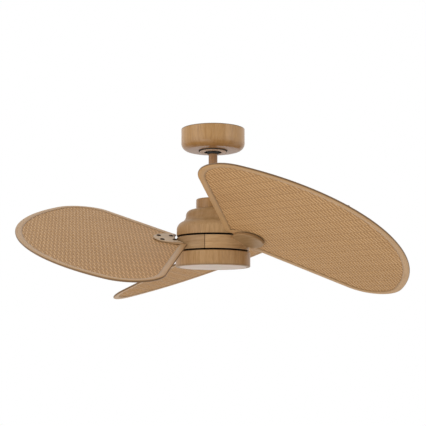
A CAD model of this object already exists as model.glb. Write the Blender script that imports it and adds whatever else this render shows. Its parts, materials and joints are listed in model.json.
"""Looks of a three-blade ceiling fan with woven blade panels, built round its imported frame."""

import json
import logging
import math
from dataclasses import dataclass
from enum import Enum
from functools import cache
from typing import Any, Sequence

import bmesh
import bpy
from mathutils import Euler, Matrix, Vector
from mathutils.bvhtree import BVHTree


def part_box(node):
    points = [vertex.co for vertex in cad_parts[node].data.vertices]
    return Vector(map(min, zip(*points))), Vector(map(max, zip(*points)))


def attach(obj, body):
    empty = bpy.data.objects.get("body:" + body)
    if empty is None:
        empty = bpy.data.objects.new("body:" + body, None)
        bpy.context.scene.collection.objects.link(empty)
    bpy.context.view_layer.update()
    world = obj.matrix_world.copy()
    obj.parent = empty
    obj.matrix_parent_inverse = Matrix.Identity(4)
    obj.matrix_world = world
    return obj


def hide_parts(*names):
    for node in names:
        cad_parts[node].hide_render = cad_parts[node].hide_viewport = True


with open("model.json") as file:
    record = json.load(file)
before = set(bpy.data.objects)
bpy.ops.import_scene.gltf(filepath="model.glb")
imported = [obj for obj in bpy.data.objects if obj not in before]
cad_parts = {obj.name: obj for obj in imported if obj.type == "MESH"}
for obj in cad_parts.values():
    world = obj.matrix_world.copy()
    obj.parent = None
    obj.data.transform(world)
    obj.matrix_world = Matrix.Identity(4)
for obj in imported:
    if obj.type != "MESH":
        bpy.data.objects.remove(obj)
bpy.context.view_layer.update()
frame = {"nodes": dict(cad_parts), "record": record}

LOG = logging.getLogger("ceiling_fan")
MM = 0.001

Pair = tuple[float, float]
Triple = tuple[float, float, float]
Inputs = dict[Any, Any]
Socket = bpy.types.NodeSocket
Shape = bmesh.types.BMesh
# A colour as it is seen, each part 0 to 255.
Colour = tuple[int, int, int]
# A corner of a turned outline: its radius, its level and, where it is rounded, how far, in mm.
Corner = tuple[float, ...]

# The display curve that turns a colour as it is seen into light.
TOP_LEVEL = 255
CURVE_KNEE = 0.04045
CURVE_SLOPE = 12.92
CURVE_SHIFT = 0.055
CURVE_POWER = 2.4

# Sockets of the Mix node when it blends colours.
MIX_SHARE, MIX_FIRST, MIX_SECOND, MIX_RESULT = 0, 6, 7, 2

# How the round corners of a turned outline are cut up, and how near its points merge, in mm.
ARC_PIECE, FEWEST_PIECES, MOST_PIECES = 2.0, 3, 12
MERGE = 0.002


def tint(colour: Colour) -> Triple:
    """Turns a colour as it is seen into light.

    Args:
        colour: The colour as it is seen.

    Returns:
        Its parts of full light.
    """
    seen = (level / TOP_LEVEL for level in colour)
    return tuple(
        s / CURVE_SLOPE if s <= CURVE_KNEE else ((s + CURVE_SHIFT) / (1.0 + CURVE_SHIFT)) ** CURVE_POWER
        for s in seen
    )


class Net:
    """A node tree with short ways to place nodes and join them."""

    def __init__(self, tree: bpy.types.NodeTree) -> None:
        """Takes the tree to work on and empties it."""
        tree.nodes.clear()
        self.tree = tree

    def node(self, kind: str, inputs: Inputs | None = None, **settings: Any) -> bpy.types.Node:
        """Places a node.

        Args:
            kind: The node's type.
            inputs: Sockets by name or number, each with a value or with a socket to join to it.
            settings: The node's own properties.

        Returns:
            The new node.
        """
        placed = self.tree.nodes.new(kind)
        for key, value in settings.items():
            setattr(placed, key, value)
        for key, value in (inputs or {}).items():
            socket = placed.inputs[key]
            if isinstance(value, Socket):
                self.tree.links.new(value, socket)
            elif socket.type == "RGBA":
                socket.default_value = (*tint(value), 1.0)
            else:
                socket.default_value = value
        return placed

    def calc(self, operation: str, first: Any, second: Any = 0.0, third: Any = 0.0) -> Socket:
        """A math operation on up to three numbers."""
        inputs = {0: first, 1: second, 2: third}
        return self.node("ShaderNodeMath", inputs, operation=operation).outputs[0]

    def share(self, value: Any, part: float, base: Any = 0.0) -> Socket:
        """A part of a number, on top of a base."""
        return self.calc("MULTIPLY_ADD", value, part, base)

    def span(self, value: Any, low: float, high: float, start: float = 0.0, end: float = 1.0) -> Socket:
        """A number's place between low and high, spread from start to end."""
        inputs = {"Value": value, "From Min": low, "From Max": high, "To Min": start, "To Max": end}
        return self.node("ShaderNodeMapRange", inputs).outputs[0]

    def mix(self, share: Any, first: Any, second: Any) -> Socket:
        """A blend of two colours."""
        inputs = {MIX_SHARE: share, MIX_FIRST: first, MIX_SECOND: second}
        return self.node("ShaderNodeMix", inputs, data_type="RGBA").outputs[MIX_RESULT]

    def noise(self, vector: Any, scale: Any, detail: float = 3.0, rough: float = 0.55,
              warp: float = 0.0) -> Socket:
        """A cloud of values on a vector."""
        inputs = {"Vector": vector, "Scale": scale, "Detail": detail, "Roughness": rough, "Distortion": warp}
        return self.node("ShaderNodeTexNoise", inputs).outputs["Fac"]

    def place(self) -> Socket:
        """The point on the piece, in the piece's own frame."""
        return self.node("ShaderNodeTexCoord").outputs["Object"]

    def stretch(self, vector: Any, scale: Triple) -> Socket:
        """A vector with each of its axes scaled."""
        return self.node("ShaderNodeMapping", {"Vector": vector, "Scale": scale}).outputs[0]

    def axes(self, vector: Any) -> bpy.types.bpy_prop_collection:
        """The three parts of a vector."""
        return self.node("ShaderNodeSeparateXYZ", {0: vector}).outputs

    def bump(self, height: Any, strength: float, depth: float) -> Socket:
        """A normal that follows a height."""
        inputs = {"Strength": strength, "Distance": depth, "Height": height}
        return self.node("ShaderNodeBump", inputs).outputs["Normal"]


class Effect:
    """A shared shader effect: a node group laid out on a vector, with named numbers and outputs."""

    def __init__(self, name: str, numbers: dict[str, float]) -> None:
        """Makes the group and its inputs.

        Args:
            name: The effect's name.
            numbers: Names of its number inputs, with their usual values.
        """
        self.tree = bpy.data.node_groups.new(name, "ShaderNodeTree")
        self.add = self.tree.interface.new_socket
        self.add("vector", in_out="INPUT", socket_type="NodeSocketVector")
        for title, usual in numbers.items():
            self.add(title, in_out="INPUT", socket_type="NodeSocketFloat").default_value = usual
        self.net = Net(self.tree)
        self.given = self.net.node("NodeGroupInput").outputs

    def finish(self, values: dict[str, Socket]) -> "Effect":
        """Makes the effect's outputs.

        Args:
            values: Their names, with the results to join to them.

        Returns:
            The finished effect.
        """
        for title in values:
            self.add(title, in_out="OUTPUT", socket_type="NodeSocketFloat")
        self.net.node("NodeGroupOutput", values)
        return self

    def on(self, net: Net, vector: Socket, **numbers: float) -> bpy.types.bpy_prop_collection:
        """The outputs of the effect, placed in a material with the numbers that aren't the usual ones."""
        return net.node("ShaderNodeGroup", {"vector": vector, **numbers}, node_tree=self.tree).outputs


@cache
def grain_effect() -> Effect:
    """Makes wood grain for stretched coordinates: broad bands, fine lines and their relief.

    Returns:
        The effect, the same one each time.
    """
    band_part, streak_part, fibre_part, mean = 0.45, 0.75, 0.5, 0.85
    effect = Effect("wood_grain", {"contrast": 0.2})
    net, vector = effect.net, effect.given["vector"]
    bands = net.noise(vector, 0.9, detail=2.0, rough=0.5, warp=0.6)
    streaks = net.noise(vector, 2.9, detail=4.0, rough=0.6, warp=0.25)
    fibres = net.noise(vector, 9.0)
    fine = net.share(fibres, fibre_part, net.share(bands, band_part))
    off = net.calc("SUBTRACT", net.share(streaks, streak_part, fine), mean)
    return effect.finish({
        "tone": net.span(net.calc("DIVIDE", off, effect.given["contrast"]), low=-0.5, high=0.5),
        "lines": net.span(streaks, low=0.52, high=0.7),
        "height": net.share(fibres, fibre_part, streaks),
    })


@cache
def handling_effect() -> Effect:
    """Makes broad patches and fine specks that keep a surface from looking new and even.

    Returns:
        The effect, the same one each time.
    """
    effect = Effect("handling", {"patch_scale": 9.0, "speck_scale": 260.0})
    net, given = effect.net, effect.given
    patch = net.noise(given["vector"], given["patch_scale"], rough=0.6)
    speck = net.noise(given["vector"], given["speck_scale"], detail=2.0, rough=0.5)
    return effect.finish({
        "patch": net.span(patch, low=0.35, high=0.7),
        "speck": net.span(speck, low=0.5, high=0.75),
    })


@dataclass(frozen=True)
class Finish:
    """What every finish has: a name and a way to make its material once."""

    name: str

    def shade(self, net: Net) -> Inputs:
        """What goes into the sockets of the surface shader."""
        raise NotImplementedError

    @cache
    def material(self) -> bpy.types.Material:
        """Makes the finish's material, the first time it is asked for.

        Returns:
            The material, the same one each time.
        """
        made = bpy.data.materials.new(f"finish_{self.name}")
        made.use_nodes = True
        net = Net(made.node_tree)
        surface = net.node("ShaderNodeBsdfPrincipled", self.shade(net))
        net.node("ShaderNodeOutputMaterial", {"Surface": surface.outputs[0]})
        return made


class Grain(Enum):
    """Which way wood grain runs, as its bands to the metre along x, y and z."""

    UPRIGHT = (92.0, 92.0, 6.0)
    LEVEL = (6.0, 6.0, 110.0)
    ALONG = (5.0, 90.0, 1.0)


@dataclass(frozen=True)
class Band:
    """Where a stain starts, where it is full and how strong it is there."""

    start: float
    full: float
    share: float

    def on(self, net: Net, value: Socket) -> Socket:
        """The stain's strength at a value."""
        return net.span(value, self.start, self.full, end=self.share)


@dataclass(frozen=True)
class WoodGrain(Finish):
    """Satin wood-grain print."""

    light: Colour
    dark: Colour
    streak: Colour
    grain: Grain = Grain.UPRIGHT
    roughness: float = 0.46
    contrast: float = 0.46
    coat: float = 0.18
    coat_roughness: float = 0.3
    specular: float = 0.2
    streak_share: float = 0.5
    patch_share: float = 0.2
    streak_dullness: float = 0.12
    speck_dullness: float = 0.06
    relief: Pair = (0.25, 0.2 * MM)

    def place(self, net: Net) -> Socket:
        """The point that the grain is laid out on."""
        return net.place()

    def shade(self, net: Net) -> Inputs:
        """Works out bands, lines and patches.

        Args:
            net: The material's nodes.

        Returns:
            What goes into the surface shader.
        """
        place = self.place(net)
        grain = grain_effect().on(net, net.stretch(place, self.grain.value), contrast=self.contrast)
        handling = handling_effect().on(net, place)
        wood = net.mix(grain["tone"], self.dark, self.light)
        lined = net.mix(net.share(grain["lines"], self.streak_share), wood, self.streak)
        worn = net.mix(net.share(handling["patch"], self.patch_share), lined, self.dark)
        dull = net.share(grain["lines"], self.streak_dullness, self.roughness)
        return {
            "Base Color": self.edged(net, worn),
            "Specular IOR Level": self.specular,
            "Coat Weight": self.coat,
            "Coat Roughness": self.coat_roughness,
            "Roughness": net.share(handling["speck"], self.speck_dullness, dull),
            "Normal": net.bump(grain["height"], *self.relief),
        }

    def edged(self, net: Net, colour: Socket) -> Socket:
        """The colour with the piece's own edges; plain wood has none."""
        return colour


@dataclass(frozen=True, kw_only=True)
class RimWood(WoodGrain):
    """Wood grain that follows a blade's rim on its own map, with a stained outer line and inner step."""

    stain: Colour
    line: Band = Band(0.002, 0.0005, 0.85)
    step: Band = Band(0.014, 0.019, 0.5)

    def place(self, net: Net) -> Socket:
        """The point along and across the rim, in metres."""
        return net.node("ShaderNodeUVMap", uv_map="run").outputs[0]

    def edged(self, net: Net, colour: Socket) -> Socket:
        """The colour with the stain on the outer line and, fainter, on the inner step."""
        shares = (band.on(net, net.axes(self.place(net))[1]) for band in (self.line, self.step))
        return net.mix(net.calc("MAXIMUM", *shares), colour, self.stain)


@dataclass(frozen=True, kw_only=True)
class BandedWood(WoodGrain):
    """Wood grain that is stained deeper from one level to another, in metres."""

    band: Band
    stain: Colour

    def edged(self, net: Net, colour: Socket) -> Socket:
        """The colour with the stain between the two levels."""
        return net.mix(self.band.on(net, net.axes(net.place())[2]), colour, self.stain)


@dataclass(frozen=True, kw_only=True)
class CanopyWood(BandedWood):
    """Banded wood grain with a dark line along the canopy's top edge."""

    line: Band = Band(-0.0026, -0.0013, 0.7)
    line_stain: Colour

    def edged(self, net: Net, colour: Socket) -> Socket:
        """The colour with the band and the line on the top edge."""
        share = self.line.on(net, net.axes(net.place())[2])
        return net.mix(share, super().edged(net, colour), self.line_stain)


@dataclass(frozen=True, kw_only=True)
class ArmWood(WoodGrain):
    """Wood grain that is darker on the tongues beyond the ring, along the seams and on one of the arms."""

    stain: Colour
    tongue: Band = Band(0.1035, 0.1075, 0.46)
    seam_angle: float = 17.3
    seam_step: float = 120.0
    seam_width: float = 0.75
    seam_share: float = 0.85
    deep_arm: float = 1.0
    deep_share: float = 0.28

    def edged(self, net: Net, colour: Socket) -> Socket:
        """Stains the tongues, the seams and the darker arm.

        Args:
            net: The material's nodes.
            colour: The wood's colour.

        Returns:
            The colour with the stain.
        """
        place = net.place()
        inputs = {0: place, 1: (1.0, 1.0, 0.0)}
        flat = net.node("ShaderNodeVectorMath", inputs, operation="MULTIPLY").outputs[0]
        radius = net.node("ShaderNodeVectorMath", {0: flat}, operation="LENGTH").outputs["Value"]
        axes = net.axes(place)
        angle = net.calc("ARCTAN2", axes[1], axes[0])
        turn = net.calc("SUBTRACT", angle, math.radians(self.seam_angle))
        arms = net.calc("DIVIDE", turn, math.radians(self.seam_step))
        off = net.calc("ABSOLUTE", net.calc("SUBTRACT", net.calc("FRACT", arms), 0.5))
        near = self.seam_width / self.seam_step
        seam = net.span(off, 0.5 - near, 0.5 - near / 2, end=self.seam_share)
        number = net.calc("FLOORED_MODULO", net.calc("FLOOR", arms), 360.0 / self.seam_step)
        deeper = net.share(net.calc("COMPARE", number, self.deep_arm, 0.5), self.deep_share)
        toned = net.mix(deeper, colour, self.stain)
        return net.mix(net.calc("MAXIMUM", self.tongue.on(net, radius), seam), toned, self.stain)


@dataclass(frozen=True)
class Strand(Finish):
    """Woven cane strands, coloured along and across each strand on its own map."""

    light: Colour
    dark: Colour
    groove: Colour
    end_share: float
    side_share: float
    end_depth: float
    side_depth: float
    roughness: float = 0.45
    specular: float = 0.15
    fibre_stretch: Triple = (0.6, 5.0, 1.0)
    own_share: float = 0.25
    patch_scale: float = 7.0
    patch_share: float = 0.25
    fibre_dullness: float = 0.2
    relief: Pair = (0.3, 0.2 * MM)

    def shade(self, net: Net) -> Inputs:
        """Works out strand tones, fibres and darker dips.

        Args:
            net: The material's nodes.

        Returns:
            What goes into the surface shader.
        """
        strand = net.node("ShaderNodeUVMap", uv_map="strand").outputs[0]
        parts = net.axes(strand)
        number = net.calc("FLOOR", parts[1])
        own = net.node("ShaderNodeTexWhiteNoise", {"W": number}, noise_dimensions="1D").outputs["Value"]
        fibre = net.noise(net.stretch(strand, self.fibre_stretch), 1.0, detail=4.0, rough=0.6)
        handling = handling_effect().on(net, net.place(), patch_scale=self.patch_scale)
        spread = net.span(fibre, low=0.3, high=0.7, start=0.1, end=0.65)
        cane = net.mix(net.share(own, self.own_share, spread), self.dark, self.light)
        aged = net.mix(net.share(handling["patch"], self.patch_share), cane, self.dark)
        ends = net.share(self.near(net, parts[0], self.end_share), self.end_depth)
        sides = net.share(self.near(net, parts[1], self.side_share), self.side_depth)
        return {
            "Base Color": net.mix(net.calc("MAXIMUM", ends, sides), aged, self.groove),
            "Roughness": net.share(fibre, self.fibre_dullness, self.roughness),
            "Normal": net.bump(fibre, *self.relief),
            "Specular IOR Level": self.specular,
        }

    def near(self, net: Net, count: Socket, share: float) -> Socket:
        """How near a count is to a whole number, from the share of a half at which that starts."""
        off = net.calc("ABSOLUTE", net.calc("SUBTRACT", net.calc("FRACT", count), 0.5))
        return net.span(off, share / 2, 0.5)


@dataclass(frozen=True)
class Metal(Finish):
    """Bare, plated or cast metal with faint scratches and dull patches."""

    colour: Colour
    dull: Colour
    roughness: float = 0.35
    metallic: float = 1.0
    scratch: Triple = (900.0, 900.0, 60.0)
    specular: float = 0.5
    patch_scale: float = 45.0
    patch_dullness: float = 0.12
    scratch_dullness: float = 0.15
    relief: Pair = (0.15, 0.1 * MM)

    def shade(self, net: Net) -> Inputs:
        """Works out scratches and dull patches.

        Args:
            net: The material's nodes.

        Returns:
            What goes into the surface shader.
        """
        place = net.place()
        scratch = net.noise(net.stretch(place, self.scratch), 1.0, rough=0.6)
        patch = handling_effect().on(net, place, patch_scale=self.patch_scale)["patch"]
        worn = net.share(patch, self.patch_dullness, self.roughness)
        return {
            "Base Color": net.mix(patch, self.colour, self.dull),
            "Roughness": net.share(scratch, self.scratch_dullness, worn),
            "Normal": net.bump(scratch, *self.relief),
            "Metallic": self.metallic,
            "Specular IOR Level": self.specular,
        }


@dataclass(frozen=True)
class Moulded(Finish):
    """Moulded plastic, paint or rubber with a fine texture, hard or a little soft inside."""

    colour: Colour
    shadow: Colour
    roughness: float = 0.45
    patch_scale: float = 24.0
    speck_scale: float = 700.0
    patch_share: float = 0.6
    speck_dullness: float = 0.15
    relief: Pair = (0.12, 0.1 * MM)
    softness: float = 0.0
    soft_depth: float = 0.01

    def shade(self, net: Net) -> Inputs:
        """Works out a fine texture and faint patches.

        Args:
            net: The material's nodes.

        Returns:
            What goes into the surface shader.
        """
        handling = handling_effect().on(net, net.place(), patch_scale=self.patch_scale,
                                        speck_scale=self.speck_scale)
        patches = net.share(handling["patch"], self.patch_share)
        return {
            "Base Color": net.mix(patches, self.colour, self.shadow),
            "Roughness": net.share(handling["speck"], self.speck_dullness, self.roughness),
            "Normal": net.bump(handling["speck"], *self.relief),
            "Subsurface Weight": self.softness,
            "Subsurface Scale": self.soft_depth,
        }


TEAK = ((202, 163, 116), (158, 119, 74), (118, 82, 46))
UPRIGHT_WOOD = WoodGrain("upright_wood", *TEAK)
HOUSING_WOOD = BandedWood("housing_wood", *TEAK, band=Band(-0.286, -0.268, 0.42), stain=(118, 80, 30))
LIGHT_WOOD = BandedWood("light_wood", *TEAK, band=Band(-0.391, -0.3945, 0.5), stain=(112, 88, 64))
CANOPY_WOOD = CanopyWood("canopy_wood", (201, 158, 105), (159, 116, 60), (116, 78, 36), coat=0.6,
                         band=Band(-0.034, -0.05, 0.3), stain=(124, 84, 38), line_stain=(88, 68, 48))
COVER_WOOD = WoodGrain("cover_wood", (178, 132, 74), (134, 92, 40), (102, 66, 26), coat=0.5)
LEVEL_WOOD = ArmWood("level_wood", (209, 171, 125), (164, 124, 79), (118, 82, 46), Grain.LEVEL,
                     stain=(96, 68, 36))
ROD_WOOD = WoodGrain("rod_wood", (182, 140, 100), (138, 100, 64), (112, 78, 46))
RIM_WOOD = RimWood("rim_wood", (206, 166, 118), (178, 138, 92), (150, 110, 68), Grain.ALONG,
                   roughness=0.44, contrast=0.8, stain=(96, 68, 40))
TRIM_PAINT = Moulded("trim_paint", (206, 180, 156), (184, 156, 130), 0.42)
CHORD_CANE = Strand("chord_cane", (228, 184, 132), (198, 154, 104), (132, 92, 52),
                    end_share=0.8, side_share=0.6, end_depth=0.5, side_depth=0.6)
LENGTH_CANE = Strand("length_cane", (200, 156, 106), (168, 126, 82), (132, 92, 52),
                     end_share=0.56, side_share=0.9, end_depth=0.6, side_depth=0.5)
CANE_CORE = Moulded("cane_core", (150, 110, 66), (124, 88, 52), 0.6)
DARK_SCREW = Metal("dark_screw", (50, 30, 12), (32, 19, 8), 0.5, metallic=0.2, specular=0.1)
DARK_LINING = Moulded("dark_lining", (30, 26, 22), (18, 16, 14), 0.6)
FLOOR_PAINT = Moulded("studio_floor", (244, 243, 241), (238, 237, 234), 0.8)

SLOT_FINISHES: dict[str, Finish] = {
    "grain_paint": UPRIGHT_WOOD,
    "arm_paint": LEVEL_WOOD,
    "rod_paint": ROD_WOOD,
    "trim_paint": TRIM_PAINT,
    "blade_weave": CANE_CORE,
    "plate_cream": Moulded("plate_cream", (194, 164, 128), (170, 140, 104)),
    "screw_dark": DARK_SCREW,
    "screw_zinc": Metal("zinc_screw", (190, 188, 180), (150, 148, 142), 0.3),
    "steel": Metal("plated_steel", (180, 180, 178), (140, 140, 138), 0.36),
    "black_steel": Moulded("black_paint", (34, 32, 30), (20, 19, 18), 0.42),
    "nylon": Moulded("black_nylon", (38, 37, 36), (24, 23, 23), 0.5),
    "receiver_case": Moulded("receiver_case", (52, 52, 54), (36, 36, 38), 0.5),
    "wire": Moulded("wire_skin", (206, 202, 194), (176, 172, 164), 0.5),
    "motor_cast": Metal("motor_casting", (42, 36, 30), (24, 20, 17), 0.55, metallic=0.5,
                        scratch=(500.0, 500.0, 500.0)),
    "laminate": Metal("laminated_steel", (120, 120, 124), (84, 84, 88), 0.45, scratch=(40.0, 40.0, 1600.0)),
    "copper": Metal("enamelled_copper", (190, 112, 66), (150, 84, 48), 0.3, scratch=(60.0, 60.0, 1400.0)),
    "magnet": Metal("magnet", (60, 60, 64), (40, 40, 44), 0.5, metallic=0.4, scratch=(700.0, 700.0, 700.0)),
    "bearing": Metal("bearing_steel", (206, 206, 206), (178, 178, 178), 0.18),
    "gasket": Moulded("gasket_rubber", (40, 36, 32), (26, 24, 22), 0.7),
    "board": Moulded("board_mask", (226, 226, 220), (206, 206, 200), 0.4),
    "driver_case": Moulded("driver_case", (222, 222, 216), (198, 198, 192), 0.48),
    "chip": Moulded("lamp_chip", (236, 208, 96), (214, 182, 70), 0.3),
    "lens": Moulded("lens", (212, 189, 172), (194, 169, 153), 0.5, patch_scale=14.0, speck_scale=1200.0,
                    patch_share=0.5, speck_dullness=0.2, relief=(0.1, 0.05 * MM), softness=0.15),
}

# The finish, slot, node and crease of each piece of a blade.
SHEET = ("blade_weave", "blade_panel", 80.0)
BLADE_PIECES: dict[str, tuple[Finish, str, str, float]] = {
    "chord_strands": (CHORD_CANE, *SHEET),
    "length_strands": (LENGTH_CANE, *SHEET),
    "core": (CANE_CORE, *SHEET),
    "rim": (RIM_WOOD, "blade_rim", "blade_frame", 40.0),
    "root_screws": (DARK_SCREW, "screw_dark", "blade_screws", 40.0),
}


def turned(outline: Sequence[Corner], steps: int = 160, closed: bool = True) -> Shape:
    """A shell of revolution about the upright axis.

    Args:
        outline: The corners of half its section, in order.
        steps: How many faces go round it.
        closed: Whether the last corner joins the first.

    Returns:
        The closed mesh, with its faces outwards.
    """
    shell = bmesh.new()
    points = [shell.verts.new((radius * MM, 0.0, level * MM)) for radius, level, *_ in outline]
    for first, second in zip(points, points[1:]):
        shell.edges.new((first, second))
    if closed:
        shell.edges.new((points[-1], points[0]))
    for point, (_, _, *rounding) in zip(points, outline):
        if rounding:
            near, far = (edge.other_vert(point).co - point.co for edge in point.link_edges)
            half_turn = (math.pi - near.angle(far)) / 2
            pieces = max(FEWEST_PIECES, round(rounding[0] * half_turn / ARC_PIECE))
            bmesh.ops.bevel(shell, geom=[point], offset=rounding[0] * MM * math.tan(half_turn),
                            offset_type="OFFSET", affect="VERTICES", segments=min(pieces, MOST_PIECES),
                            profile=0.5, material=-1)
    bmesh.ops.spin(shell, geom=shell.verts[:] + shell.edges[:], cent=(0, 0, 0), axis=(0, 0, 1),
                   dvec=(0, 0, 0), angle=math.tau, steps=steps, use_merge=True)
    bmesh.ops.remove_doubles(shell, verts=shell.verts[:], dist=MERGE * MM)
    bmesh.ops.recalc_face_normals(shell, faces=shell.faces[:])
    return shell


def as_mesh(name: str, shape: Shape) -> bpy.types.Mesh:
    """Makes a mesh of a shape.

    Args:
        name: The mesh's name.
        shape: The shape, which is used up.

    Returns:
        The mesh.
    """
    mesh = bpy.data.meshes.new(name)
    shape.to_mesh(mesh)
    shape.free()
    return mesh


def stand(name: str, data: bpy.types.ID) -> bpy.types.Object:
    """Puts a new object in the scene.

    Args:
        name: The object's name.
        data: Its mesh, light or camera.

    Returns:
        The object.
    """
    made = bpy.data.objects.new(name, data)
    bpy.context.scene.collection.objects.link(made)
    return made


def add_piece(name: str, shape: Shape, finish: Finish, body: str,
              nodes: Sequence[str] = (), crease: float = 32.0) -> None:
    """Makes an object of a mesh, dresses it and puts it on its body.

    Args:
        name: The piece's name.
        shape: Its mesh, which is used up.
        finish: Its finish.
        body: The frame's body that it moves with.
        nodes: The frame's nodes that it stands for.
        crease: The angle in degrees above which an edge stays sharp.
    """
    limit = math.radians(crease)
    for face in shape.faces:
        face.smooth = True
    for edge in shape.edges:
        edge.smooth = len(edge.link_faces) != 2 or edge.calc_face_angle() < limit
    mesh = as_mesh(name, shape)
    mesh.materials.append(finish.material())
    piece = stand(name, mesh)
    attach(piece, body)
    if nodes:
        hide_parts(*nodes)
    LOG.info("%s: %d faces on %s", name, len(mesh.polygons), body)


def levels(node: str) -> Triple:
    """A turned node's radius, top and bottom in mm."""
    low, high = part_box(node)
    return (high.x / MM, high.z / MM, low.z / MM)


@dataclass
class CeilingCanopy:
    """The canopy on the ceiling, the trim ring round its hole and the dark boot on the rod there, in mm."""

    wall: float = 1.5
    shoulder: float = 20.0
    hole: float = 27.0
    trim_hole: float = 25.0
    trim_neck: float = 36.0
    trim_inset: float = 1.2
    trim_flange: float = 2.6
    trim_edge: float = 0.9
    flange_edge: float = 0.6
    collar_gap: float = 0.2
    hole_edge: float = 0.3
    gap_proud: float = 1.5
    gap_edge: float = 0.4
    lining: float = 0.4
    boot_bore: float = 12.8
    boot_radius: float = 16.5
    boot_drop: float = 5.6
    boot_edge: float = 2.5
    boot_top_edge: float = 1.0
    ring_steps: int = 128
    bore_steps: int = 96

    def build(self) -> None:
        """Turns the canopy, the trim ring and the boot and dresses them."""
        radius, top, bottom = levels("canopy")
        inner, floor = radius - self.wall, bottom + self.wall
        shell = turned([
            (inner, top), (radius, top), (radius, bottom, self.shoulder), (self.hole, bottom),
            (self.hole, floor), (inner, floor, self.shoulder - self.wall),
        ])
        add_piece("canopy_shell", shell, CANOPY_WOOD, "hanger", ["canopy"])
        self.build_trim(bottom)
        self.build_bore()

    def build_trim(self, seat: float) -> None:
        """Turns the trim ring and the dark washer above it.

        Args:
            seat: The level of the canopy's bottom, which both reach.
        """
        rim, top, bottom = levels("canopy_trim_ring")
        hole, neck, face, gap = self.trim_hole, self.trim_neck, rim - self.trim_inset, rim + self.gap_proud
        flange, collar = bottom + self.trim_flange, self.hole - self.collar_gap
        ring = turned([
            (hole, bottom, self.hole_edge), (face, bottom, self.trim_edge), (face, flange, self.flange_edge),
            (neck, flange), (neck, seat), (collar, seat), (collar, top), (hole, top),
        ], self.ring_steps)
        add_piece("trim_ring", ring, TRIM_PAINT, "hanger", ["canopy_trim_ring"])
        washer = turned([(neck, flange), (gap, flange, self.gap_edge), (gap, seat), (neck, seat)],
                        self.ring_steps)
        add_piece("trim_washer", washer, DARK_LINING, "hanger")

    def build_bore(self) -> None:
        """Turns the dark lining of the trim ring's hole and the dark boot on the rod."""
        _, top, bottom = levels("canopy_trim_ring")
        hole, lip, foot = self.trim_hole, bottom + self.hole_edge, bottom - self.boot_drop
        inside, bore, skin = hole - self.lining, self.boot_bore, self.boot_radius
        lining = turned([(hole, lip), (hole, top), (inside, top), (inside, lip)], self.bore_steps)
        add_piece("trim_lining", lining, DARK_LINING, "hanger")
        boot = turned([
            (bore, top), (bore, foot), (skin, foot, self.boot_edge), (skin, top, self.boot_top_edge),
        ], self.bore_steps)
        add_piece("rod_boot", boot, DARK_LINING, "stem")


@dataclass
class MotorStack:
    """The fixed shells below the rod: coupling cover and ogee upper housing, in mm."""

    wall: float = 1.6
    rod_hole: float = 13.0
    cover_edge: float = 3.5
    cover_radius: float = 48.0
    yoke_hole: float = 20.3
    neck: float = 77.0
    shoulder: float = 16.0
    shoulder_drop: float = 6.85
    cove: float = 18.4
    cove_drop: float = 34.08
    brow: float = 22.4
    brow_drop: float = 44.2
    foot_edge: float = 0.5
    cover_steps: int = 128

    def build(self) -> None:
        """Turns the cover and the housing and dresses them."""
        wall, hole, yoke = self.wall, self.rod_hole, self.yoke_hole
        radius, top, bottom = levels("coupling_cover")
        inner, ceiling = radius - wall, top - wall
        cover = turned([
            (radius, bottom), (radius, top, self.cover_edge), (hole, top), (hole, ceiling),
            (inner, ceiling, self.cover_edge - wall), (inner, bottom),
        ], self.cover_steps)
        add_piece("coupling_shell", cover, COVER_WOOD, "stem", ["coupling_cover"])
        radius, top, bottom = levels("upper_housing")
        shoulder, cove, brow = top - self.shoulder_drop, top - self.cove_drop, top - self.brow_drop
        inner, neck = radius - wall, self.neck - wall
        housing = turned([
            (yoke, top), (self.cover_radius, top), (self.neck, shoulder, self.shoulder),
            (self.neck, cove, self.cove), (radius, brow, self.brow), (radius, bottom, self.foot_edge),
            (inner, bottom), (inner, brow - wall, self.brow - wall), (neck, cove - wall, self.cove + wall),
            (neck, shoulder - wall, self.shoulder - wall), (self.cover_radius, top - wall),
            (yoke, top - wall),
        ])
        add_piece("upper_shell", housing, HOUSING_WOOD, "stem", ["upper_housing"])


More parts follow.
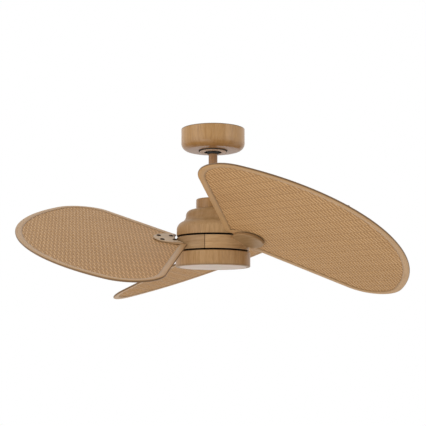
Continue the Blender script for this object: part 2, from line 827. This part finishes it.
@dataclass
class WovenPanel:
    """The woven cane sheet that all three blades share, made once on the blade's own axes, in mm."""

    chord_pitch: float = 4.98
    length_pitch: float = 33.3
    fill_share: float = 0.95
    thickness: float = 0.7
    crown: float = 0.25
    wave: float = 0.45
    wave_gain: float = 1.4
    core_cell: float = 6.0
    core_thickness: float = 0.3
    probe_height: float = 1000.0
    outline: BVHTree | None = None
    low: Vector | None = None
    high: Vector | None = None

    def build(self, node: str, place: Matrix) -> dict[str, Shape]:
        """Weaves the sheet inside the outline of one blade's panel.

        Args:
            node: The frame's panel node that gives the outline.
            place: Where that blade's own axes are.

        Returns:
            The two families of strands and the core between them.
        """
        back = place.inverted()
        mesh = frame["nodes"][node].data
        corners = [back @ vertex.co for vertex in mesh.vertices]
        self.outline = BVHTree.FromPolygons(corners, [tuple(face.vertices) for face in mesh.polygons])
        self.low = Vector((min(c.x for c in corners), min(c.y for c in corners), 0.0))
        self.high = Vector((max(c.x for c in corners), max(c.y for c in corners), 0.0))
        return {
            "chord_strands": self.strands(across=0, cells=2, samples=4),
            "length_strands": self.strands(across=1, cells=4, samples=2),
            "core": self.core(),
        }

    def trim(self, sheet: Shape) -> None:
        """Cuts away the faces outside the panel's outline, as seen from above.

        Args:
            sheet: The sheet to cut.
        """
        above, down = Vector((0.0, 0.0, self.probe_height * MM)), Vector((0.0, 0.0, -1.0))
        starts = {face: face.calc_center_median().xy.to_3d() + above for face in sheet.faces}
        spare = [face for face, start in starts.items() if self.outline.ray_cast(start, down)[0] is None]
        bmesh.ops.delete(sheet, geom=spare, context="FACES")

    def grid(self, columns: int, rows: int) -> Shape:
        """Makes a flat grid of cells, one unit each, from the zero corner.

        Args:
            columns: How many cells lie along x.
            rows: How many lie along y.

        Returns:
            The grid.
        """
        sheet = bmesh.new()
        bmesh.ops.create_grid(sheet, x_segments=columns, y_segments=rows, size=0.5)
        bmesh.ops.translate(sheet, verts=sheet.verts[:], vec=(0.5, 0.5, 0.0))
        bmesh.ops.scale(sheet, verts=sheet.verts[:], vec=(columns, rows, 1.0))
        return sheet

    def strands(self, across: int, cells: int, samples: int) -> Shape:
        """One family of strands, each over and under the other family by turns.

        Args:
            across: The axis across the strands, 0 or 1.
            cells: How many faces lie side by side in a strand.
            samples: How many faces follow each other from one crossing to the next.

        Returns:
            The strands as closed ribbons on the blade's own axes.
        """
        along = 1 - across
        pitches = (self.chord_pitch * MM, self.length_pitch * MM)
        pitch, crossing = pitches[across], pitches[along]
        room = self.high - self.low
        count = math.ceil(room[across] / pitch)
        rows = math.ceil(room[along] / crossing) * samples
        sheet = self.grid(count * (cells + 1), rows)
        gaps = [face for face in sheet.faces if int(face.calc_center_median().x) % (cells + 1) == cells]
        bmesh.ops.delete(sheet, geom=gaps, context="FACES")
        side = -1.0 if across else 1.0
        for vertex in sheet.verts:
            column, row = round(vertex.co.x), round(vertex.co.y)
            strand, part = divmod(column, cells + 1)
            swell = max(-1.0, min(1.0, self.wave_gain * math.sin(math.pi * row / samples)))
            offset = part / cells - 0.5
            height = side * self.wave * swell * (-1) ** strand + self.crown * (1.0 - 4.0 * offset * offset)
            place = Vector((0.0, 0.0, height * MM))
            place[across] = self.low[across] + (strand + 0.5 + offset * self.fill_share) * pitch
            place[along] = self.low[along] + row * crossing / samples
            vertex.co = place
        self.trim(sheet)
        sheet.normal_update()
        bmesh.ops.reverse_faces(sheet, faces=[face for face in sheet.faces if face.normal.z < 0.0])
        bmesh.ops.solidify(sheet, geom=sheet.faces[:], thickness=self.thickness * MM)
        bmesh.ops.recalc_face_normals(sheet, faces=sheet.faces[:])
        middle = (max(v.co.z for v in sheet.verts) + min(v.co.z for v in sheet.verts)) / 2
        bmesh.ops.translate(sheet, verts=sheet.verts[:], vec=(0.0, 0.0, -middle))
        chart = sheet.loops.layers.uv.new("strand")
        for face in sheet.faces:
            for loop in face.loops:
                point = loop.vert.co - self.low
                loop[chart].uv = (point[along] / crossing, point[across] / pitch)
        return sheet

    def core(self) -> Shape:
        """Makes the thin sheet in the middle of the weave, which closes its gaps.

        Returns:
            The sheet on the blade's own axes.
        """
        cell = self.core_cell * MM
        room = self.high - self.low
        sheet = self.grid(math.ceil(room.x / cell), math.ceil(room.y / cell))
        bmesh.ops.scale(sheet, verts=sheet.verts[:], vec=(cell, cell, 1.0))
        bmesh.ops.translate(sheet, verts=sheet.verts[:], vec=self.low)
        self.trim(sheet)
        bmesh.ops.solidify(sheet, geom=sheet.faces[:], thickness=self.core_thickness * MM)
        bmesh.ops.recalc_face_normals(sheet, faces=sheet.faces[:])
        return sheet


@dataclass(frozen=True)
class RootEdge:
    """A blade's straight root edge: its side, where it starts, its angle and the corner after it, in mm."""

    side: float
    width: float
    angle: float
    corner: float


@dataclass(frozen=True)
class PetalOutline:
    """A blade's outline on its own axes, in mm: an outer arc, two round corners and two straight edges."""

    centre: Pair = (41.5, 14.0)
    radius: float = 512.0
    root: float = 108.0
    leading: RootEdge = RootEdge(side=-1.0, width=53.0, angle=62.3, corner=96.5)
    trailing: RootEdge = RootEdge(side=1.0, width=57.0, angle=66.3, corner=101.0)
    straight_steps: int = 24
    corner_steps: int = 28
    outer_steps: int = 130
    root_steps: int = 48

    def meet(self, start: Vector, way: Vector, centre: Vector, radius: float) -> Vector:
        """Where a line from a point meets a circle ahead."""
        gap, along = start - centre, way.dot(start - centre)
        return start + way * (math.sqrt(along * along - gap.length_squared + radius * radius) - along)

    def arc(self, centre: Vector, first: Vector, last: Vector, steps: int, turn: float = 1.0) -> list[Vector]:
        """Points on an arc about a centre, without the last one.

        Args:
            centre: The arc's centre.
            first: Its first point.
            last: Its last point.
            steps: How many points.
            turn: 1 for an arc to the left, -1 for one to the right.

        Returns:
            The points in order.
        """
        begin = math.atan2(first.y - centre.y, first.x - centre.x)
        sweep = (turn * (math.atan2(last.y - centre.y, last.x - centre.x) - begin)) % math.tau
        radius = (first - centre).length
        angles = (begin + turn * sweep * step / steps for step in range(steps))
        return [centre + Vector((math.cos(angle), math.sin(angle))) * radius for angle in angles]

    def loop(self, inset: float, root_middle: float, root_radius: float) -> list[Vector]:
        """The outline drawn in by an inset, as a closed row of points.

        Args:
            inset: How far it is drawn in.
            root_middle: The centre of the circle that hollows its root, on the blade's axis.
            root_radius: That circle's radius.

        Returns:
            The points in order, as many as for every other inset.
        """
        middle, hollow = Vector(self.centre), Vector((root_middle, 0.0))
        ends = []
        for edge in (self.leading, self.trailing):
            angle = math.radians(edge.angle)
            way = Vector((math.cos(angle), math.sin(angle) * edge.side))
            inward = Vector((math.sin(angle), -math.cos(angle) * edge.side))
            foot = Vector((math.sqrt(self.root ** 2 - edge.width ** 2), edge.width * edge.side))
            pivot = self.meet(foot + inward * edge.corner, way, middle, self.radius - edge.corner)
            ends.append((
                self.meet(foot + inward * inset, way, hollow, root_radius),
                pivot - inward * (edge.corner - inset),
                pivot,
                middle + (pivot - middle) * ((self.radius - inset) / (self.radius - edge.corner)),
            ))
        first_root, first_edge, first_pivot, first_arc = ends[0]
        last_root, last_edge, last_pivot, last_arc = ends[1]
        shares = [step / self.straight_steps for step in range(self.straight_steps)]
        points = [first_root.lerp(first_edge, share) for share in shares]
        points += self.arc(first_pivot, first_edge, first_arc, self.corner_steps)
        points += self.arc(middle, first_arc, last_arc, self.outer_steps)
        points += self.arc(last_pivot, last_arc, last_edge, self.corner_steps)
        points += [last_edge.lerp(last_root, share) for share in shares]
        return points + self.arc(hollow, last_root, first_root, self.root_steps, turn=-1.0)


@dataclass
class BladeRim:
    """The raised rim that holds the woven sheet, made once on the blade's own axes, in mm."""

    width: float = 19.0
    pad_middle: float = 117.0
    pad_radius: float = 54.0
    crown: tuple[Pair, ...] = (
        (0.0, 0.35), (0.4, 1.5), (1.4, 2.45), (3.2, 3.05), (6.0, 3.25), (10.0, 3.2), (13.5, 2.9), (16.2, 2.4),
        (18.0, 1.9), (18.8, 1.5), (19.0, 1.0),
    )
    outline: PetalOutline = PetalOutline()

    def build(self) -> Shape:
        """Lofts the rim's section round the outline.

        Returns:
            The closed rim, with a map of its run and its insets in metres.
        """
        section = list(self.crown) + [(inset, -height) for inset, height in reversed(self.crown)]
        rim = bmesh.new()
        chart = rim.loops.layers.uv.new("run")
        rows = []
        for inset, height in section:
            share = inset / self.width
            radius = self.outline.root + (self.pad_radius - self.outline.root) * share
            points = self.outline.loop(inset, self.pad_middle * share, radius)
            rows.append([rim.verts.new((p.x * MM, p.y * MM, height * MM)) for p in points])
        count = len(rows[0])
        run = [0.0]
        for step in range(count):
            run.append(run[-1] + (rows[0][(step + 1) % count].co - rows[0][step].co).length)
        for row, (inset, _) in enumerate(section):
            following = (row + 1) % len(section)
            this, other, depth = rows[row], rows[following], section[following][0]
            for step in range(count):
                after = (step + 1) % count
                face = rim.faces.new((this[step], this[after], other[after], other[step]))
                corners = ((step, inset), (step + 1, inset), (step + 1, depth), (step, depth))
                for loop, (place, across) in zip(face.loops, corners):
                    loop[chart].uv = (run[place], across * MM)
        bmesh.ops.recalc_face_normals(rim, faces=rim.faces[:])
        return rim


@dataclass
class RootScrews:
    """The four dark screws on a blade's root, made once on the blade's own axes, in mm.

    A screw's section runs from its socket over its domed head and down its shank to its tip.
    """

    middle: float = 136.0
    spacing: float = 36.0
    gauge: float = 44.0
    seat: float = 5.75
    section: tuple[Corner, ...] = (
        (0.0, 0.7), (2.0, 0.7), (2.3, 2.3, 0.3), (4.62, 1.95, 2.0), (6.6, 0.8, 0.5), (6.4, 0.0), (2.4, 0.0),
        (2.4, -16.0, 0.5), (0.0, -16.0),
    )
    steps: int = 40

    def build(self) -> Shape:
        """Turns a screw and sets out four of them.

        Returns:
            The four screws.
        """
        screw = turned(self.section, self.steps, closed=False)
        screws = bmesh.new()
        for along in (-0.5, 0.5):
            for across in (-0.5, 0.5):
                placed = screw.copy()
                place = Vector((self.middle + along * self.spacing, across * self.gauge, self.seat))
                bmesh.ops.translate(placed, verts=placed.verts[:], vec=place * MM)
                mesh = as_mesh("screw", placed)
                screws.from_mesh(mesh)
                bpy.data.meshes.remove(mesh)
        screw.free()
        return screws


@dataclass
class Blade:
    """One blade: woven sheet, rim and screws, laid at the blade's place, in mm and degrees."""

    number: int
    turn: float
    pitch: float = -20.2
    level: float = -322.0

    def place(self) -> Matrix:
        """Where the blade's own axes are in the frame."""
        lean = Euler((math.radians(self.pitch), 0.0, math.radians(self.turn))).to_matrix().to_4x4()
        return Matrix.Translation((0.0, 0.0, self.level * MM)) @ lean

    def build(self, shapes: dict[str, Shape]) -> None:
        """Lays the blade's pieces and dresses them.

        Args:
            shapes: The shapes that all blades share, by the titles of their pieces.
        """
        tail = f"_{self.number}"
        for title, shape in shapes.items():
            finish, slot, node, crease = BLADE_PIECES[title]
            laid = shape.copy()
            bmesh.ops.transform(laid, matrix=self.place(), verts=laid.verts[:])
            add_piece(title + tail, laid, finish, "rotor", [node + tail], crease)


@dataclass
class LightKit:
    """The light housing, which has a finish of its own; its lens has that of its slot."""

    housing: str = "light_housing"

    def dress(self) -> None:
        """Dresses the housing."""
        dress_node(self.housing, LIGHT_WOOD)


def dress_node(node: str, finish: Finish) -> None:
    """Gives a frame node a finish in place of its plain one."""
    for slot in frame["nodes"][node].material_slots:
        slot.material = finish.material()


def dress_frame() -> None:
    """Gives the frame's nodes the finishes of their slots; the rims have only their own pieces' finish."""
    for part in frame["record"]["subparts"]:
        finish = SLOT_FINISHES.get(part["material_slot"])
        if finish:
            dress_node(part["node"], finish)
            LOG.info("%s: %s", part["node"], finish.name)


@dataclass(frozen=True)
class Lamp:
    """A square soft lamp: its place and its side in metres, and its power in watts."""

    name: str
    place: Triple
    side: float
    power: float

    def build(self, target: Triple) -> None:
        """Sets up the lamp.

        Args:
            target: The point that it faces.
        """
        light = bpy.data.lights.new(self.name, "AREA")
        light.size = self.side
        light.energy = self.power
        lamp = stand(self.name, light)
        lamp.location = self.place
        lamp.rotation_euler = (Vector(target) - Vector(self.place)).to_track_quat("-Z", "Y").to_euler()
        lamp.visible_camera = False


@dataclass
class Studio:
    """Pale floor, soft light and the camera at the photo's viewing angle, in metres."""

    floor_level: float = -4.2
    floor_radius: float = 3.2
    floor_sides: int = 96
    ambient: float = 0.62
    lamps: tuple[Lamp, ...] = (
        Lamp("key_light", (-2.8, -1.9, 0.15), side=2.4, power=26.0),
        Lamp("fill_light", (2.8, -1.5, 0.3), side=2.0, power=17.0),
        Lamp("low_light", (-1.4, -1.9, -1.7), side=2.0, power=22.0),
        Lamp("top_light", (0.2, 1.2, 2.4), side=2.2, power=3.0),
    )
    lamp_target: Triple = (0.0, 0.0, -0.28)
    camera_place: Triple = (0.0, -2.8035, -0.613)
    camera_rise: float = 7.54
    camera_lens: float = 83.9
    camera_sensor: float = 36.0

    def build(self) -> None:
        """Sets up floor, world, lamps and camera."""
        self.floor()
        self.world()
        for lamp in self.lamps:
            lamp.build(self.lamp_target)
        self.camera()
        bpy.context.scene.view_settings.view_transform = "Standard"

    def floor(self) -> None:
        """A pale round floor, well below the fan."""
        disc = bmesh.new()
        bmesh.ops.create_circle(disc, cap_ends=True, segments=self.floor_sides, radius=self.floor_radius)
        bmesh.ops.translate(disc, verts=disc.verts[:], vec=(0.0, 0.0, self.floor_level))
        floor = stand("studio_floor", as_mesh("studio_floor", disc))
        floor.data.materials.append(FLOOR_PAINT.material())

    def world(self) -> None:
        """Even light all round, with white behind the fan."""
        world = bpy.data.worlds.new("studio")
        world.use_nodes = True
        net = Net(world.node_tree)
        path = net.node("ShaderNodeLightPath").outputs
        seen = net.calc("MAXIMUM", path["Is Camera Ray"], path["Is Glossy Ray"])
        seen = net.calc("MAXIMUM", seen, path["Is Transmission Ray"])
        inputs = {"Color": (255, 255, 255), "Strength": net.span(seen, 0.0, 1.0, start=self.ambient)}
        light = net.node("ShaderNodeBackground", inputs).outputs[0]
        net.node("ShaderNodeOutputWorld", {"Surface": light})
        bpy.context.scene.world = world

    def camera(self) -> None:
        """The camera, level with the photo's."""
        view = bpy.data.cameras.new("photo_view")
        view.lens = self.camera_lens
        view.sensor_width = self.camera_sensor
        camera = stand("photo_view", view)
        camera.location = self.camera_place
        camera.rotation_euler = (math.radians(90.0 + self.camera_rise), 0.0, 0.0)
        bpy.context.scene.camera = camera


@dataclass
class CeilingFan:
    """The whole fan, piece by piece."""

    first_turn: float = 77.3
    blade_count: int = 3

    def build(self) -> None:
        """Builds the sub-assemblies in order and dresses them."""
        dress_frame()
        CeilingCanopy().build()
        MotorStack().build()
        LightKit().dress()
        step = 360.0 / self.blade_count
        blades = [Blade(number + 1, self.first_turn + step * number) for number in range(self.blade_count)]
        shapes = WovenPanel().build("blade_panel_1", blades[0].place())
        shapes |= {"rim": BladeRim().build(), "root_screws": RootScrews().build()}
        for blade in blades:
            blade.build(shapes)


def main() -> None:
    """Builds the studio and the fan."""
    logging.basicConfig(level=logging.INFO, format="%(message)s")
    Studio().build()
    CeilingFan().build()


if __name__ == "__main__":
    main()
